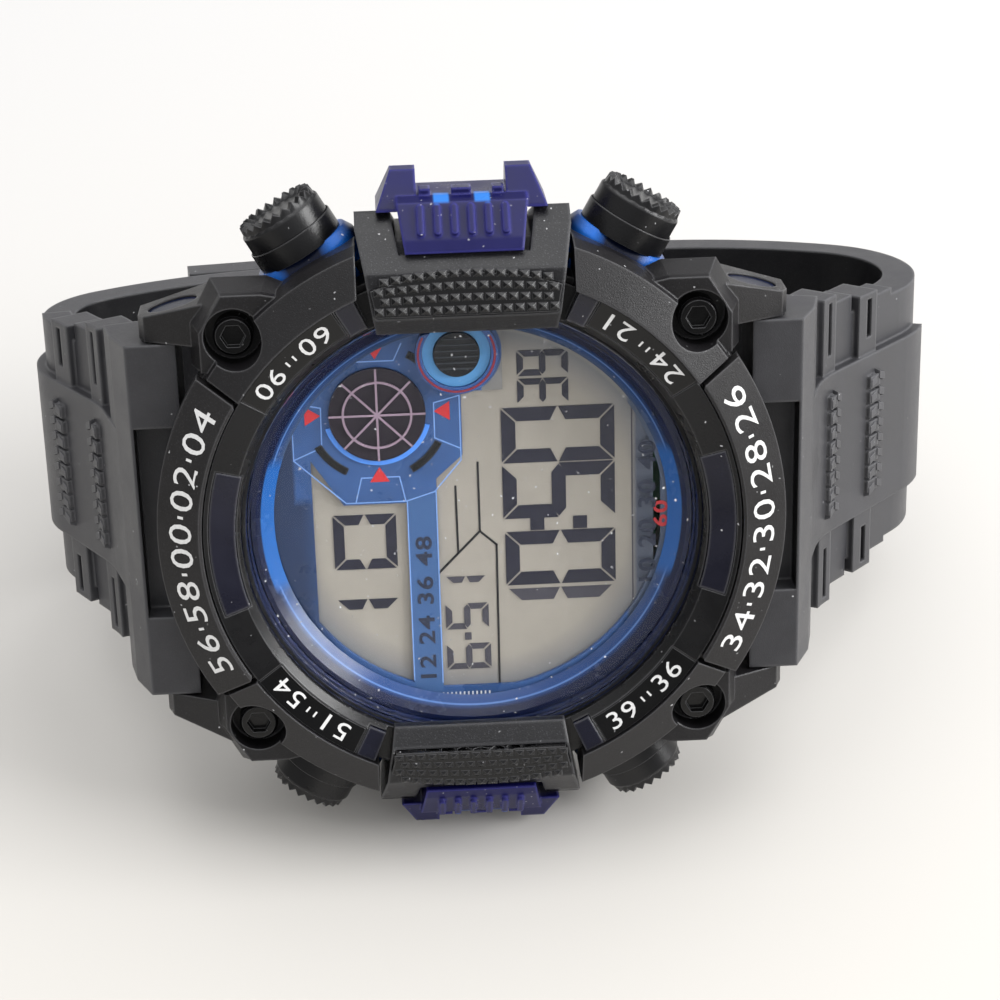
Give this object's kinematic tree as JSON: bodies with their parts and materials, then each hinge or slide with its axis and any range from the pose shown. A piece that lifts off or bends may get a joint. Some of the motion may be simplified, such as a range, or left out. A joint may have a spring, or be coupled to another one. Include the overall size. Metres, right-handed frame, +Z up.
{
  "type": "digital wristwatch",
  "caption": "Digital sports watch of grey resin: guards over the glass, sprung pushers, module inside, ribbed strap buckled into a loop, lying on its side.",
  "frame": {"origin": "bottom centre of the box, on the surface it lies on", "axes": "+X towards the 6 o'clock strap, +Y from the face towards the strap's back, +Z up; the face looks along -Y and upwards, the 9 o'clock side is down"},
  "size_m": [0.0722, 0.0534, 0.0495],
  "materials": {
    "shell_resin": "satin, fine grain",
    "pad_resin": "satin, fine grain",
    "guard_resin": "satin",
    "grip_resin": "glossy, knurled",
    "black_resin": "glossy",
    "navy_resin": "glossy",
    "blue_resin": "translucent",
    "black_metal": "black plated",
    "strap_resin": "satin",
    "steel": "brushed",
    "cell_steel": "bright",
    "seal_rubber": "matt",
    "crystal_glass": "polished",
    "mask_print": "printed, glossy",
    "dial_dark": "printed",
    "lcd_glass": "warm grey display",
    "module_plastic": "moulded",
    "board_resin": "solder mask",
    "chip_resin": "potting",
    "contact_brass": "plated"
  },
  "bodies": {
    "watch": {"case_back": "steel", "case_back_gasket": "seal_rubber", "case_back_screws": "steel", "buzzer_disc": "contact_brass", "buzzer_spring": "steel", "inner_case": "blue_resin", "outer_shell": "shell_resin", "corner_bolts": "black_metal", "index_pad_6": "pad_resin", "index_pad_12": "pad_resin", "bezel_ring": "black_resin", "label_plates": "black_resin", "ring_tabs": "navy_resin", "guard_top": "guard_resin", "guard_bottom": "guard_resin", "grip_panel_top": "grip_resin", "grip_panel_bottom": "grip_resin", "guard_insert_top": "navy_resin", "guard_insert_bottom": "navy_resin", "crystal": "crystal_glass", "crystal_gasket": "seal_rubber", "flange_ring": "blue_resin", "dial_mask": "mask_print", "subdial_disc": "dial_dark", "porthole_ring": "blue_resin", "porthole_core": "black_resin", "lcd_panel": "lcd_glass", "backlight_panel": "module_plastic", "contact_strips": "seal_rubber", "module_frame": "module_plastic", "circuit_board": "board_resin", "driver_chip": "chip_resin", "quartz_crystal": "cell_steel", "board_components": "chip_resin", "pusher_contacts": "contact_brass", "battery": "cell_steel", "battery_clip": "steel", "pusher_o_rings": "seal_rubber", "strap_buckle_half": "strap_resin", "strap_tail_half": "strap_resin", "spring_bar_6": "steel", "spring_bar_12": "steel", "reset_spring": "steel", "start_spring": "steel", "light_spring": "steel", "mode_spring": "steel"},
    "reset_button": {"reset_pusher": "black_metal", "reset_clip": "steel"},
    "start_button": {"start_pusher": "black_metal", "start_clip": "steel"},
    "light_button": {"light_pusher": "black_metal", "light_clip": "steel"},
    "mode_button": {"mode_pusher": "black_metal", "mode_clip": "steel"},
    "keeper": {"strap_keeper": "strap_resin"},
    "buckle": {"buckle_frame": "steel", "buckle_bar": "steel"},
    "prong": {"buckle_prong": "steel"}
  },
  "joints": [
    {"name": "reset_press", "type": "slide", "parent": "watch", "child": "reset_button", "axis": [-0.5, -0.3151, -0.8067], "range_m": [0, 0.001], "stiffness_N_per_m": 900, "springref_m": -0.002, "deforming": ["reset_spring"]},
    {"name": "start_press", "type": "slide", "parent": "watch", "child": "start_button", "axis": [0.5, -0.3151, -0.8067], "range_m": [0, 0.001], "stiffness_N_per_m": 900, "springref_m": -0.002, "deforming": ["start_spring"]},
    {"name": "light_press", "type": "slide", "parent": "watch", "child": "light_button", "axis": [0.5, 0.3151, 0.8067], "range_m": [0, 0.001], "stiffness_N_per_m": 900, "springref_m": -0.002, "deforming": ["light_spring"]},
    {"name": "mode_press", "type": "slide", "parent": "watch", "child": "mode_button", "axis": [-0.5, 0.3151, 0.8067], "range_m": [0, 0.001], "stiffness_N_per_m": 900, "springref_m": -0.002, "deforming": ["mode_spring"]},
    {"name": "keeper_slide", "type": "slide", "parent": "watch", "child": "keeper", "axis": [-0.9903, -0.1296, 0.0506], "range_m": [-0.001, 0.005]},
    {"name": "buckle_hinge", "type": "hinge", "parent": "watch", "child": "buckle", "pos_m": [0.00473, 0.01774, 0.01292], "axis": [0, 0.3638, 0.9315], "range_deg": [0, 4]},
    {"name": "prong_hinge", "type": "hinge", "parent": "buckle", "child": "prong", "pos_m": [0.00473, 0.01774, 0.01292], "axis": [0, 0.3638, 0.9315], "range_deg": [0, 6]}
  ]
}
